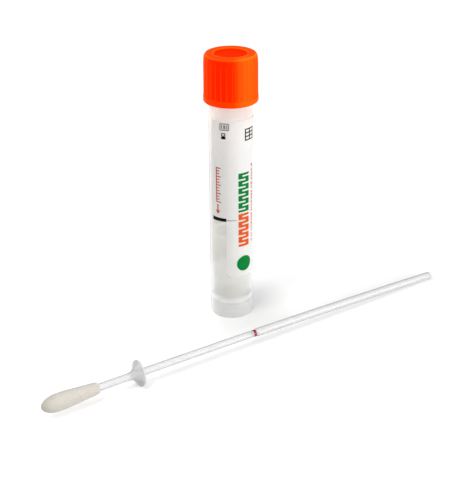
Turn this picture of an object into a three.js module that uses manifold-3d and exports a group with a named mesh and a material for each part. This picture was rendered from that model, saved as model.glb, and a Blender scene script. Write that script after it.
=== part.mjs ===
// Specimen swab tube: a screw-capped, self-standing transport tube with its wrap label and
// transport medium, and the flocked swab that goes with it, lying in front of the tube.
// Millimetres, +Z up. The origin is the middle of the set's footprint, on the bench.
// Angles round the tube are in degrees from its front (-Y), positive towards +X.

import * as THREE from "three";
import { mergeVertices } from "three/addons/utils/BufferGeometryUtils.js";
import Module from "manifold-3d";

const wasm = await Module();
wasm.setup();

// ---------------------------------------------------------------- driving dimensions

// Tube moulding
const overallHeight = 100; // bench to the top of the closed cap
const bodyRadius = 7.8;
const tubeWall = 1.2; // between the body's outside and its bore
const neckDepth = 0.4; // from the body's outside in to the root of the thread
const neckStep = 1.5; // from the cap's lower edge up to the foot of the neck
const lipChamfer = 0.2;
const skirtWall = 1.1;
const skirtHeight = 7.2; // bench to the web between the skirt and the cone
const footChamfer = 0.4;
const coneTop = 9.6; // where the straight bore ends
const coneShoulder = 0.5; // the bore's first, steeper turn inwards
const coneShoulderDepth = 1.1;
const coneEndRadius = 1.8; // inside of the cone's blunt end
const coneEndRise = 0.6; // height of the slope round the blunt end
const coneFloor = 3.2; // bench to the inside of the blunt end
const coneWall = 1.1;

// Transport medium
const fillHeight = 32.2; // bench to the middle of the liquid's surface
const meniscusRise = 0.5;
const meniscusWidth = 1.2;
const mediumGap = 0.05; // between the liquid and the moulding

// Cap moulding
const capHeight = 17.25;
const capClearance = 0.35; // between the tube's body and the cap's mouth
const collarWall = 1.55;
const collarHeight = 2.2;
const collarRounding = 0.5;
const gripWall = 1.2; // between the ribs, just above the collar
const gripTaper = 0.12; // the grip is this much smaller in radius at the shoulder
const shoulderRounding = 1.1;
const rimWidth = 2.15;
const rimFillet = 0.9; // from the rim down into the recess
const recessDepth = 0.8;
const topThickness = 1.3; // under the recess
const capMouthChamfer = 0.4;
const ribCount = 30;
const ribHeight = 0.22;
const ribWidth = 0.85; // at the root
const ribCrestWidth = 0.4;
const ribPhase = 4; // angle of a rib next to the cap's front
const ribRunOut = 60; // degrees round the shoulder where the ribs end
const plugGap = 0.12; // between the cap's plug and the tube's bore
const plugLength = 12;
const plugLipThickness = 0.9;
const plugLipFlat = 0.6;
const funnelThroatRadius = 1.6; // takes the end of a broken-off shaft
const funnelThroatDepth = 2.5;
const funnelCover = 1.2; // plastic between the funnel's throat and the recess

// Sealing ring between the cap and the tube's lip
const sealThickness = 1;
const sealSideGap = 0.1;
const seatGap = 0.03; // at each face of the seal

// Wrap label
const labelGap = 0.03; // adhesive
const labelThickness = 0.12;
const labelBottom = 17.2;
const labelDrop = 5.25; // from the cap's lower edge down to the label
const labelStart = -59; // angle
const labelEnd = 268; // angle
const labelCornerRadius = 1.8;
const windowEnd = -12.4; // angle; the viewing window runs from labelStart to here
const windowTop = 38.85;

// Print on the label, all of it plain shapes
const inkGap = 0.02;
const inkThickness = 0.05;
const fillLineThickness = 1.2;
const fillLineLift = 0.1; // above the window's upper edge
const fillLineInset = 0.6; // from the label's edge
const guideLineLength = 3.5;
const guideLineStart = 0.1; // from the window's edge
const guideLineThickness = 0.25;
const arrowWidth = 1.9;
const arrowHeight = 3.9;
const arrowStem = 0.5;
const arrowAngle = -36.3;
const arrowLift = 1.5; // its point above the fill line
const scaleHeight = 13.4;
const scaleLine = 0.35;
const scaleTick = 1.3;
const scaleTicks = 13;
const scaleAngle = -41.6;
const scaleLift = 0.75; // above the arrow
const columnAngle = 35; // of the two colour fields and the disc
const columnWidth = 4.4;
const columnRounding = 0.9;
const orangeDrop = 10.15; // the orange field's foot below the window's upper edge
const orangeLength = 12.9;
const greenLength = 15;
const columnGap = 0.7;
const discRadius = 3;
const discLift = 2.1; // above the label's lower edge
const stripeAngle = 63.5;
const stripeWidth = 0.45;
const stripeLength = 31;
const stripeDrop = 47.5; // its foot below the label's upper edge
const frameAngle = -16.6;
const frameWidth = 3.5;
const frameHeight = 2.6;
const frameLine = 0.22;
const frameDrop = 1.3; // below the label's upper edge
const blockAngle = -19.1;
const blockWidth = 1.5;
const blockHeight = 1.9;
const blockDrop = 5; // below the label's upper edge
const latticeAngle = 54;
const latticeSide = 4.4;
const latticeBar = 0.34;
const latticeCells = 5;
const latticeDrop = 3.8; // below the label's upper edge

// Swab
const swabLength = 166;
const shaftTipRadius = 1.28; // from the flock to the breakpoint
const shaftTailRadius = 1.5; // beyond the breakpoint
const coreRadius = 1; // inside the flock
const coreStart = 2.2; // from the swab's tip
const coreBevel = 0.3;
const coreGap = 0.05;
const flockLength = 20.1;
const flockNose = 5.5; // length of the rounded end
const flockRadius = 3.12;
const flockStraight = 3; // behind the nose
const flockEndRadius = 2.25; // where the flock's own shoulder starts
const flockShoulder = 0.8;
const stopperStart = 31.3; // from the swab's tip
const stopperRim = 34.7; // the rim's outer edge, from the swab's tip
const stopperRadius = 4.5;
const stopperWall = 0.7;
const breakDistance = 81; // the breakpoint, from the swab's tip
const breakGrooveDepth = 0.2;
const breakGrooveWidth = 1.5;
const breakMarkWidth = 1.3;
const breakMarkThickness = 0.14;
const breakMarkGap = 0.03;

// Where the swab lies
const swabTipX = -59.07; // the tip, from the tube's axis
const swabTipY = -70.24;
const swabYaw = 34.1; // degrees, tip to tail, from +X towards +Y

// Facets
const tubeFacets = 60;
const swabFacets = 26;
const arcSteps = 3; // in a quarter round
const printArcSteps = 1; // half of those in a rounded corner of the print

// Colours
const tubePlastic = 0xe6e6e2;
const mediumColour = 0xd8d8cf;
const capOrange = 0xff3c00;
const sealWhite = 0xf0efe9;
const labelWhite = 0xf6f6f4;
const inkBlack = 0x1e1e1e;
const inkGrey = 0x9a9a9a;
const inkRed = 0xd8402e;
const inkGreen = 0x159648;
const inkOrange = 0xe8622c;
const shaftWhite = 0xf2f2f2;
const flockCream = 0xe2dccd;
const markCrimson = 0x96122c;

// ---------------------------------------------------------------- derived places

const boreRadius = bodyRadius - tubeWall;
const neckRadius = bodyRadius - neckDepth;
const skirtRadius = bodyRadius - skirtWall;
const capBottom = overallHeight - capHeight;
const recessFloor = overallHeight - recessDepth;
const ceiling = recessFloor - topThickness;
const lipHeight = ceiling - sealThickness - 2 * seatGap;
const neckFoot = capBottom + neckStep;
const capBoreRadius = bodyRadius + capClearance;
const collarRadius = capBoreRadius + collarWall;
const gripRadiusLow = capBoreRadius + gripWall;
const gripRadiusHigh = gripRadiusLow - gripTaper;
const collarTop = capBottom + collarHeight;
const shoulderBase = overallHeight - shoulderRounding;
const shoulderCentre = gripRadiusHigh - shoulderRounding;
const plugRadius = boreRadius - plugGap;
const labelTop = capBottom - labelDrop;
const labelInner = bodyRadius + labelGap;
const labelOuter = labelInner + labelThickness;
const inkInner = labelOuter + inkGap;
const inkOuter = inkInner + inkThickness;
const stopperEdge = stopperRim + stopperWall / 2; // the rim's edge towards the tail

// ---------------------------------------------------------------- helpers

const toRadians = THREE.MathUtils.degToRad;
const fullTurn = 360;
const rightAngle = 90;
const weldDistance = 1e-4;
const cutMargin = 1; // how far a cutter reaches past what it cuts

// Points of a circular arc about (centreX, centreY), both ends included, angles in degrees.
function arc(centreX, centreY, radius, from, to, steps = arcSteps) {
  const points = [];
  for (let i = 0; i <= steps; i++) {
    const angle = toRadians(from + ((to - from) * i) / steps);
    points.push([centreX + radius * Math.cos(angle), centreY + radius * Math.sin(angle)]);
  }
  return points;
}

// An outline of [radius, height] points, turned about +Z. It starts and ends on the axis, or
// is closed here.
function revolve(outline, facets = tubeFacets) {
  const points = outline.map(([radius, height]) => new THREE.Vector2(radius, height));
  if (outline[0][0] > 0) points.push(points[0]);
  return new THREE.LatheGeometry(points, facets).rotateX(Math.PI / 2);
}

// A three.js geometry as a manifold-3d solid, without the slivers that a pole leaves.
function solid(geometry) {
  geometry.deleteAttribute("normal");
  geometry.deleteAttribute("uv");
  const welded = mergeVertices(geometry, weldDistance);
  const corners = welded.index.array;
  const kept = [];
  for (let i = 0; i < corners.length; i += 3) {
    const [a, b, c] = corners.slice(i, i + 3);
    if (a !== b && b !== c && c !== a) kept.push(a, b, c);
  }
  return new wasm.Manifold(
    new wasm.Mesh({
      numProp: 3,
      vertProperties: new Float32Array(welded.attributes.position.array),
      triVerts: new Uint32Array(kept),
    }),
  );
}

function geometryOf(body) {
  const mesh = body.getMesh();
  const geometry = new THREE.BufferGeometry();
  geometry.setAttribute("position", new THREE.BufferAttribute(mesh.vertProperties, 3));
  geometry.setIndex(new THREE.BufferAttribute(mesh.triVerts, 1));
  geometry.computeVertexNormals();
  return geometry;
}

function namedMesh(name, body, material) {
  const mesh = new THREE.Mesh(geometryOf(body), material);
  mesh.name = name;
  return mesh;
}

function finish(color, roughness, opacity = 1) {
  const transparent = opacity < 1;
  return new THREE.MeshStandardMaterial({
    color,
    roughness,
    metalness: 0,
    opacity,
    transparent,
  });
}

function ring(inner, outer, bottom, top, facets = tubeFacets) {
  const outline = [
    [inner, bottom],
    [outer, bottom],
    [outer, top],
    [inner, top],
  ];
  return solid(revolve(outline, facets));
}

function polygon(corners) {
  return new THREE.Shape(corners.map(([x, y]) => new THREE.Vector2(x, y)));
}

function roundedRectangle(width, height, radius) {
  const x = width / 2 - radius;
  const y = height / 2 - radius;
  const shape = new THREE.Shape();
  shape.absarc(x, -y, radius, -Math.PI / 2, 0);
  shape.absarc(x, y, radius, 0, Math.PI / 2);
  shape.absarc(-x, y, radius, Math.PI / 2, Math.PI);
  shape.absarc(-x, -y, radius, Math.PI, 1.5 * Math.PI);
  return shape;
}

// A flat shape, its x measured along the arc of the given radius and its y upwards, pushed
// out from the tube's axis so that it cuts its outline into a wall at that angle and height.
function radialPrism(shape, angle, height, radius) {
  const outline = new THREE.Shape(shape.getPoints(printArcSteps));
  const flat = new THREE.ExtrudeGeometry(outline, {
    depth: radius + cutMargin,
    bevelEnabled: false,
  });
  const places = flat.attributes.position;
  for (let i = 0; i < places.count; i++) {
    places.setX(i, radius * Math.sin(places.getX(i) / radius));
  }
  const turn = toRadians(angle);
  const along = new THREE.Vector3(Math.cos(turn), Math.sin(turn), 0);
  const up = new THREE.Vector3(0, 0, 1);
  const outward = new THREE.Vector3(Math.sin(turn), -Math.cos(turn), 0);
  flat.applyMatrix4(new THREE.Matrix4().makeBasis(along, up, outward));
  const prism = solid(flat.translate(0, 0, height));
  if (!shape.holes.length) return prism;
  const holes = shape.holes.map((hole) => radialPrism(hole, angle, height, radius));
  return prism.subtract(wasm.Manifold.union(holes));
}

// A wedge about the tube's axis between two angles and two heights.
function wedge(from, to, bottom, top) {
  const reach = 2 * labelOuter;
  const rim = arc(0, 0, reach, from - rightAngle, to - rightAngle);
  const block = new THREE.ExtrudeGeometry(polygon([[0, 0], ...rim]), {
    depth: top - bottom,
    bevelEnabled: false,
  });
  return solid(block.translate(0, 0, bottom));
}

// ---------------------------------------------------------------- tube and medium

// Inside of the tube's lower end, from the axis up to the straight bore.
function coneOutline(gap) {
  return [
    [0, coneFloor + gap],
    [coneEndRadius - coneEndRise - gap, coneFloor + gap],
    [coneEndRadius - gap, coneFloor + coneEndRise + gap],
    [boreRadius - coneShoulder - gap, coneTop - coneShoulderDepth + gap],
    [boreRadius - gap, coneTop + gap],
  ];
}

// One clear moulding: cone and skirt below, body and neck outside, bore inside.
function tubeBody() {
  const [, , end, shoulder] = coneOutline(0);
  const slope = Math.atan2(shoulder[1] - end[1], shoulder[0] - end[0]);
  const outerEndRadius = end[0] + coneWall * Math.sin(slope);
  const outerEndHeight = end[1] - coneWall * Math.cos(slope);
  const webRadius = outerEndRadius + (skirtHeight - outerEndHeight) / Math.tan(slope);
  return solid(
    revolve([
      [0, coneFloor - coneWall],
      [coneEndRadius, coneFloor - coneWall],
      [outerEndRadius, outerEndHeight],
      [webRadius, skirtHeight],
      [skirtRadius, skirtHeight],
      [skirtRadius, footChamfer / 2],
      [skirtRadius + footChamfer / 2, 0],
      [bodyRadius - footChamfer, 0],
      [bodyRadius, footChamfer],
      [bodyRadius, neckFoot],
      [neckRadius, neckFoot + bodyRadius - neckRadius],
      [neckRadius, lipHeight - lipChamfer],
      [neckRadius - lipChamfer, lipHeight],
      [boreRadius + lipChamfer, lipHeight],
      [boreRadius, lipHeight - lipChamfer],
      ...coneOutline(0).reverse(),
    ]),
  );
}

// The liquid fills the cone and the bore up to a surface that climbs a little at the wall.
function medium() {
  const radius = boreRadius - mediumGap;
  return solid(
    revolve([
      ...coneOutline(mediumGap),
      [radius, fillHeight + meniscusRise],
      [radius - meniscusWidth / 3, fillHeight + meniscusRise / 3],
      [radius - meniscusWidth, fillHeight],
      [0, fillHeight],
    ]),
  );
}

// ---------------------------------------------------------------- cap and seal

// The cap without its ribs: collar, grip, shoulder, rim and recess outside; mouth, bore,
// plug and funnel inside.
function capBody() {
  const plugEnd = ceiling - plugLength;
  const throatTop = recessFloor - funnelCover;
  const rimInner = shoulderCentre - rimWidth;
  const filletCentre = [rimInner, overallHeight - rimFillet];
  const recessFillet = arc(...filletCentre, rimFillet, rightAngle, 2 * rightAngle);
  const collarCorner = [collarRadius - collarRounding, capBottom + collarRounding];
  return solid(
    revolve([
      [capBoreRadius, capBottom + capMouthChamfer],
      [capBoreRadius + capMouthChamfer, capBottom],
      ...arc(...collarCorner, collarRounding, -rightAngle, 0, 2),
      [collarRadius, collarTop - (collarRadius - gripRadiusLow)],
      [gripRadiusLow, collarTop],
      ...arc(shoulderCentre, shoulderBase, shoulderRounding, 0, rightAngle),
      ...recessFillet.filter(([, height]) => height > recessFloor),
      [rimInner - rimFillet, recessFloor],
      [0, recessFloor],
      [0, throatTop],
      [funnelThroatRadius, throatTop],
      [funnelThroatRadius, throatTop - funnelThroatDepth],
      [plugRadius - plugLipThickness, plugEnd],
      [plugRadius - plugLipThickness + plugLipFlat, plugEnd],
      [plugRadius, plugEnd + plugLipThickness],
      [plugRadius, ceiling],
      [capBoreRadius, ceiling],
    ]),
  );
}

// The form that the ribs are cut to, a rib's height outside the grip, with one flat facet
// over each rib.
function ribEnvelope() {
  const outline = [
    [0, capBottom + collarRounding],
    [collarRadius - collarRounding, capBottom + collarRounding],
    [gripRadiusLow + ribHeight, collarTop],
    ...arc(shoulderCentre, shoulderBase, shoulderRounding + ribHeight, 0, ribRunOut, 2),
    [0, shoulderBase + shoulderRounding],
  ];
  const toFlat = Math.cos(Math.PI / ribCount);
  const wider = outline.map(([radius, height]) => [radius / toFlat, height]);
  return solid(revolve(wider, ribCount).rotateZ(Math.PI / ribCount));
}

function rib(index) {
  const root = (capBoreRadius + gripRadiusHigh) / 2;
  const crest = gripRadiusLow + ribHeight;
  const bar = polygon([
    [-ribWidth / 2, root],
    [ribWidth / 2, root],
    [ribCrestWidth / 2, crest],
    [-ribCrestWidth / 2, crest],
  ]);
  const bottom = capBottom + collarRounding;
  const block = new THREE.ExtrudeGeometry(bar, {
    depth: overallHeight - bottom,
    bevelEnabled: false,
  });
  block.rotateZ((2 * Math.PI * index) / ribCount);
  return solid(block.translate(0, 0, bottom));
}

function ribbedCap() {
  const ribs = [];
  for (let i = 0; i < ribCount; i++) ribs.push(rib(i));
  const trimmed = wasm.Manifold.union(ribs).intersect(ribEnvelope());
  return capBody().add(trimmed);
}

function sealRing() {
  const top = ceiling - seatGap;
  return ring(
    plugRadius + sealSideGap,
    capBoreRadius - sealSideGap,
    top - sealThickness,
    top,
  );
}

// ---------------------------------------------------------------- label and its print

// Cuts one corner of the label round; across and upwards say which way the label lies from it.
function cornerCutter(angle, height, across, upwards) {
  const radius = labelCornerRadius;
  const outline = arc(radius, radius, radius, 3 * rightAngle, 2 * rightAngle);
  outline.push([-cutMargin, radius], [-cutMargin, -cutMargin], [radius, -cutMargin]);
  const placed = outline.map(([x, y]) => [x * across, y * upwards]);
  return radialPrism(polygon(placed), angle, height, labelOuter);
}

function wrapLabel() {
  const low = labelBottom - cutMargin;
  const band = ring(labelInner, labelOuter, labelBottom, labelTop);
  const cutters = [
    wedge(labelEnd, labelStart + fullTurn, low, labelTop + cutMargin),
    wedge(labelStart - cutMargin, windowEnd, low, windowTop),
    cornerCutter(labelStart, labelTop, 1, -1),
    cornerCutter(labelStart, windowTop, 1, 1),
    cornerCutter(windowEnd, labelBottom, 1, 1),
    cornerCutter(labelEnd, labelTop, -1, -1),
    cornerCutter(labelEnd, labelBottom, -1, 1),
  ];
  return band.subtract(wasm.Manifold.union(cutters));
}

function frameShape(width, height, line) {
  const shape = roundedRectangle(width, height, 2 * line);
  shape.holes.push(roundedRectangle(width - 2 * line, height - 2 * line, line));
  return shape;
}

// An arrow that points down to the origin.
function arrowShape(width, height, stem) {
  const headTop = width * 0.8;
  return polygon([
    [0, 0],
    [width / 2, headTop],
    [stem / 2, headTop],
    [stem / 2, height],
    [-stem / 2, height],
    [-stem / 2, headTop],
    [-width / 2, headTop],
  ]);
}

// A scale without figures, standing on the origin: an upright line with ticks, every third
// one longer.
function scaleShape(height, line, tick, count) {
  const corners = [[0, 0]];
  const step = (height - line) / (count - 1);
  for (let i = 0; i < count; i++) {
    const y = i * step;
    const reach = i % 3 === 0 ? tick : tick / 2;
    if (i > 0) corners.push([line, y]);
    corners.push([line + reach, y], [line + reach, y + line]);
    if (i < count - 1) corners.push([line, y + line]);
  }
  corners.push([0, height]);
  return polygon(corners);
}

// A square block of print with a plain lattice of square gaps.
function latticeShape(side, cells, bar) {
  const shape = roundedRectangle(side, side, bar / 2);
  const cell = (side - bar) / cells;
  const gap = cell - bar;
  for (let column = 0; column < cells; column++) {
    for (let row = column % 2; row < cells; row += 2) {
      const left = bar + column * cell - side / 2;
      const low = bar + row * cell - side / 2;
      const hole = polygon([
        [left, low],
        [left + gap, low],
        [left + gap, low + gap],
        [left, low + gap],
      ]);
      shape.holes.push(hole);
    }
  }
  return shape;
}

function discShape(radius) {
  const shape = new THREE.Shape();
  const steps = 8;
  for (let i = 0; i < steps; i++) {
    const start = (2 * Math.PI * i) / steps;
    shape.absarc(0, 0, radius, start, start + (2 * Math.PI) / steps);
  }
  return shape;
}

// A patch of ink of a flat shape, wrapped on the label with the shape's origin at that angle
// and height.
function ink(name, shape, angle, height, color) {
  const skin = ring(inkInner, inkOuter, labelBottom, labelTop);
  const patch = skin.intersect(radialPrism(shape, angle, height, inkOuter));
  return namedMesh(name, patch, finish(color, 0.6));
}

function labelPrint() {
  const windowWidth = toRadians(windowEnd - labelStart) * inkOuter;
  const fillLineShape = polygon([
    [fillLineInset, 0],
    [windowWidth, 0],
    [windowWidth, fillLineThickness],
    [fillLineInset, fillLineThickness],
  ]);
  const fillLineFoot = windowTop + fillLineLift;
  const fillLineTop = fillLineFoot + fillLineThickness;
  const guideHeight = fillLineFoot + fillLineThickness / 2;
  const guideReach = (guideLineStart + guideLineLength / 2) / inkOuter;
  const guideAngle = windowEnd + THREE.MathUtils.radToDeg(guideReach);
  const guide = roundedRectangle(guideLineLength, guideLineThickness, guideLineThickness / 3);
  const arrowPoint = fillLineTop + arrowLift;
  const scaleFoot = arrowPoint + arrowHeight + scaleLift;
  const orangeMiddle = windowTop - orangeDrop + orangeLength / 2;
  const greenMiddle = orangeMiddle + (orangeLength + greenLength) / 2 + columnGap;
  const stripeMiddle = labelTop - stripeDrop + stripeLength / 2;
  const discMiddle = labelBottom + discLift + discRadius;
  const frameMiddle = labelTop - frameDrop - frameHeight / 2;
  const blockMiddle = labelTop - blockDrop - blockHeight / 2;
  const latticeMiddle = labelTop - latticeDrop - latticeSide / 2;
  const frame = frameShape(frameWidth, frameHeight, frameLine);
  const block = roundedRectangle(blockWidth, blockHeight, blockWidth / 8);
  const lattice = latticeShape(latticeSide, latticeCells, latticeBar);
  const orange = roundedRectangle(columnWidth, orangeLength, columnRounding);
  const green = roundedRectangle(columnWidth, greenLength, columnRounding);
  const stripe = roundedRectangle(stripeWidth, stripeLength, stripeWidth / 3);
  const arrow = arrowShape(arrowWidth, arrowHeight, arrowStem);
  const scale = scaleShape(scaleHeight, scaleLine, scaleTick, scaleTicks);
  return [
    ink("fill_line", fillLineShape, labelStart, fillLineFoot, inkBlack),
    ink("guide_line", guide, guideAngle, guideHeight, inkGrey),
    ink("fill_arrow", arrow, arrowAngle, arrowPoint, inkRed),
    ink("fill_scale", scale, scaleAngle, scaleFoot, inkRed),
    ink("orange_field", orange, columnAngle, orangeMiddle, inkOrange),
    ink("green_field", green, columnAngle, greenMiddle, inkGreen),
    ink("green_disc", discShape(discRadius), columnAngle, discMiddle, inkGreen),
    ink("red_stripe", stripe, stripeAngle, stripeMiddle, inkRed),
    ink("corner_frame", frame, frameAngle, frameMiddle, inkGrey),
    ink("corner_block", block, blockAngle, blockMiddle, inkBlack),
    ink("lattice_block", lattice, latticeAngle, latticeMiddle, inkBlack),
  ];
}

// ---------------------------------------------------------------- swab

// The stopper's curve, from the shaft out to the rim: it leaves the shaft steeply along it
// and turns outwards.
function stopperFlare() {
  const points = [];
  for (let i = 1; i <= arcSteps; i++) {
    const share = i / arcSteps;
    const radius = THREE.MathUtils.lerp(shaftTipRadius, stopperRadius, share);
    const along = THREE.MathUtils.lerp(stopperStart, stopperRim, Math.sqrt(share));
    points.push([radius, along]);
  }
  return points;
}

// One moulding: core inside the flock, flared stopper, breakpoint groove, and a thicker,
// rounded tail beyond it.
function swabShaft() {
  const groove = shaftTipRadius - breakGrooveDepth;
  const grooveStart = breakDistance - breakGrooveWidth / 2;
  const grooveEnd = breakDistance + breakGrooveWidth / 2;
  const flare = stopperFlare();
  const inside = flare
    .slice(0, -1)
    .reverse()
    .map(([radius, along]) => [radius, along + stopperWall]);
  return solid(
    revolve(
      [
        [0, coreStart],
        [coreRadius - coreBevel, coreStart],
        [coreRadius, coreStart + coreBevel],
        [coreRadius, flockLength - coreBevel],
        [shaftTipRadius, flockLength],
        [shaftTipRadius, stopperStart],
        ...flare,
        [stopperRadius, stopperEdge],
        [stopperRadius - stopperWall / 4, stopperRim + stopperWall],
        ...inside,
        [shaftTipRadius, stopperStart + 2 * stopperWall],
        [shaftTipRadius, grooveStart - breakGrooveDepth],
        [groove, grooveStart],
        [groove, grooveEnd],
        [shaftTailRadius, grooveEnd + shaftTailRadius - groove],
        ...arc(0, swabLength - shaftTailRadius, shaftTailRadius, 0, rightAngle),
      ],
      swabFacets,
    ),
  );
}

// The flocked bud, closed round the shaft's core.
function flockedTip() {
  const bore = coreRadius + coreGap;
  const nose = arc(0, 1, 1, -rightAngle, 0, 2 * arcSteps).map(([across, along]) => [
    across * flockRadius,
    along * flockNose,
  ]);
  return solid(
    revolve(
      [
        ...nose,
        [flockRadius, flockNose + flockStraight],
        [flockEndRadius, flockLength - flockShoulder],
        [(flockEndRadius + bore) / 2, flockLength - flockShoulder / 4],
        [bore + coreGap, flockLength - coreBevel - coreGap],
        [bore, flockLength - coreBevel - 2 * coreGap],
        [bore, coreStart - coreGap],
        [0, coreStart - coreGap],
      ],
      swabFacets,
    ),
  );
}

function breakpointMark() {
  const inner = shaftTipRadius - breakGrooveDepth + breakMarkGap;
  const low = breakDistance - breakMarkWidth / 2;
  const high = breakDistance + breakMarkWidth / 2;
  return ring(inner, inner + breakMarkThickness, low, high, swabFacets);
}

// ---------------------------------------------------------------- the set

const cap = namedMesh("cap", ribbedCap(), finish(capOrange, 0.35));
cap.rotation.z = toRadians(ribPhase);

const tube = new THREE.Group();
tube.add(
  namedMesh("tube", tubeBody(), finish(tubePlastic, 0.25, 0.4)),
  namedMesh("transport_medium", medium(), finish(mediumColour, 0.1, 0.7)),
  cap,
  namedMesh("cap_seal", sealRing(), finish(sealWhite, 0.6)),
  namedMesh("label", wrapLabel(), finish(labelWhite, 0.5)),
  ...labelPrint(),
);

const swab = new THREE.Group();
swab.add(
  namedMesh("swab_shaft", swabShaft(), finish(shaftWhite, 0.3)),
  namedMesh("flocked_tip", flockedTip(), finish(flockCream, 0.95)),
  namedMesh("breakpoint_mark", breakpointMark(), finish(markCrimson, 0.5)),
);

// The swab rests on the lowest point of its stopper's rim and on the start of its rounded
// tail, so it slopes down by the difference of those two radii.
const tailRest = swabLength - shaftTailRadius;
const slope = Math.asin((stopperRadius - shaftTailRadius) / (tailRest - stopperEdge));
const tipHeight = shaftTailRadius * Math.cos(slope) + tailRest * Math.sin(slope);
swab.rotation.set(0, Math.PI / 2 + slope, toRadians(swabYaw), "ZYX");
swab.position.set(swabTipX, swabTipY, tipHeight);

const set = new THREE.Group();
set.add(tube, swab);
set.updateMatrixWorld(true);
const footprint = new THREE.Box3().setFromObject(set, true);
const middle = footprint.getCenter(new THREE.Vector3());
set.position.set(-middle.x, -middle.y, 0);

const part = new THREE.Group();
part.add(set);

export default part;
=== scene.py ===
import math
import random

import bmesh
import bpy
from mathutils import Matrix, Vector


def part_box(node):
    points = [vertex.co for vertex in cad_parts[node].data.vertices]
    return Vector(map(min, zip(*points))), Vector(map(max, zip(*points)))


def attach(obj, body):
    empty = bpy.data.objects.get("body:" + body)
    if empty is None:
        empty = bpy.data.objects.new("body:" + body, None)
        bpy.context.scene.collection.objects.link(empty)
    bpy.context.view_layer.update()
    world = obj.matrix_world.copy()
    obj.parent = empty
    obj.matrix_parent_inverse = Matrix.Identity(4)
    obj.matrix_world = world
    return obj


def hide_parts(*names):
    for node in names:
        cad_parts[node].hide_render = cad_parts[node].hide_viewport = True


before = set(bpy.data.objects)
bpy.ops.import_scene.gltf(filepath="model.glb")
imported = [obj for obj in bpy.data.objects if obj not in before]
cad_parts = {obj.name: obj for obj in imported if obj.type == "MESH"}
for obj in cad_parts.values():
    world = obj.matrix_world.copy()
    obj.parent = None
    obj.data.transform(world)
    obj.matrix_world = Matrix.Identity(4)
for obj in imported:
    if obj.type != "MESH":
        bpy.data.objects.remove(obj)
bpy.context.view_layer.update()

# ------------------------------------------------------------------ the view
# The set is seen from above the bench through a long lens, so that the recess of the cap
# shows behind its rim and the whole swab lies across the foreground.

mm = 0.001
tube_low, tube_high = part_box("tube")
axis = Vector(((tube_low.x + tube_high.x) / 2, (tube_low.y + tube_high.y) / 2, 0))
camera_place = Vector((5.46, -349.8, 203.48)) * mm
camera_tilt = math.radians(68.59)

lens = bpy.data.cameras.new("view")
lens.lens = 79.67
lens.shift_x = -0.023
lens.shift_y = -0.2
camera = bpy.data.objects.new("view", lens)
camera.location = axis + camera_place
camera.rotation_euler = (camera_tilt, 0, 0)
bpy.context.scene.collection.objects.link(camera)
bpy.context.scene.camera = camera
bpy.context.scene.view_settings.view_transform = "Standard"


# ------------------------------------------------------------------ bench and lamps
# A matt white bench top that runs out of sight, under three soft lamps: one low on the
# right, one above the front left and a wide one overhead. It glows a little, and least
# round the tube and the swab, so that their shadows show.


class Shade:
    """An output of one of a finish's nodes; arithmetic on it adds Math nodes."""

    def __init__(self, finish, socket):
        self.finish = finish
        self.socket = socket

    def math(self, operation, *values):
        return self.finish.node("Math", {"operation": operation}, dict(enumerate(values)))

    def __add__(self, other):
        return self.math("ADD", self, other)

    def __radd__(self, other):
        return self.math("ADD", other, self)

    def __sub__(self, other):
        return self.math("SUBTRACT", self, other)

    def __rsub__(self, other):
        return self.math("SUBTRACT", other, self)

    def __mul__(self, other):
        return self.math("MULTIPLY", self, other)

    def __rmul__(self, other):
        return self.math("MULTIPLY", other, self)

    def __abs__(self):
        return self.math("ABSOLUTE", self)


class Finish:
    """One material, whose nodes all come from its node method."""

    def __init__(self, name, kind=bpy.data.materials):
        self.material = kind.new(name)
        self.material.use_nodes = True
        self.tree = self.material.node_tree
        self.tree.nodes.clear()

    def node(self, kind, settings=None, sockets=None, output=0):
        made = self.tree.nodes.new("ShaderNode" + kind)
        for name, value in (settings or {}).items():
            setattr(made, name, value)
        for name, value in (sockets or {}).items():
            if isinstance(value, Shade):
                self.tree.links.new(value.socket, made.inputs[name])
            else:
                made.inputs[name].default_value = value
        return Shade(self, made.outputs[output]) if made.outputs else made

    def mix(self, share, first, second):
        return self.node("Mix", {"data_type": "RGBA"}, {0: share, 6: first, 7: second}, 2)

    def ramp(self, value, low, high, first=0, last=1):
        """Goes evenly from first to last while a value goes from low to high."""
        return self.node("MapRange", {}, {"Value": value, 1: low, 2: high, 3: first, 4: last})

    def vector(self, operation, *vectors):
        return self.node("VectorMath", {"operation": operation}, dict(enumerate(vectors)))

    def measure(self, operation, *vectors):
        """A length, a distance or a dot product."""
        return self.node("VectorMath", {"operation": operation}, dict(enumerate(vectors)), 1)

    def part(self, vector, letter):
        """One coordinate of a vector."""
        return self.node("SeparateXYZ", {}, {0: vector}, "XYZ".index(letter))

    def place(self):
        return self.node("TexCoord", output=3)

    def edge(self):
        """Nought where a surface faces the eye and one where it turns away."""
        return self.node("LayerWeight", {}, {"Blend": 0.5}, 1)

    def noise(self, scale, detail=2):
        sockets = {"Vector": self.place(), "Scale": scale, "Detail": detail}
        return self.node("TexNoise", {}, sockets)

    def bump(self, height, depth):
        return self.node("Bump", {}, {"Height": height, "Distance": depth, "Strength": 1})

    def surface(self, sockets):
        shader = self.node("BsdfPrincipled", {}, sockets)
        self.node("OutputMaterial", {}, {"Surface": shader})
        return self.material


def colour(code):
    """The linear values of a colour given by its six-figure screen code."""
    parts = [int(code[place : place + 2], 16) / 255 for place in (0, 2, 4)]
    return (*[((part + 0.055) / 1.055) ** 2.4 if part > 0.04 else part / 12.92 for part in parts], 1)


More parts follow.
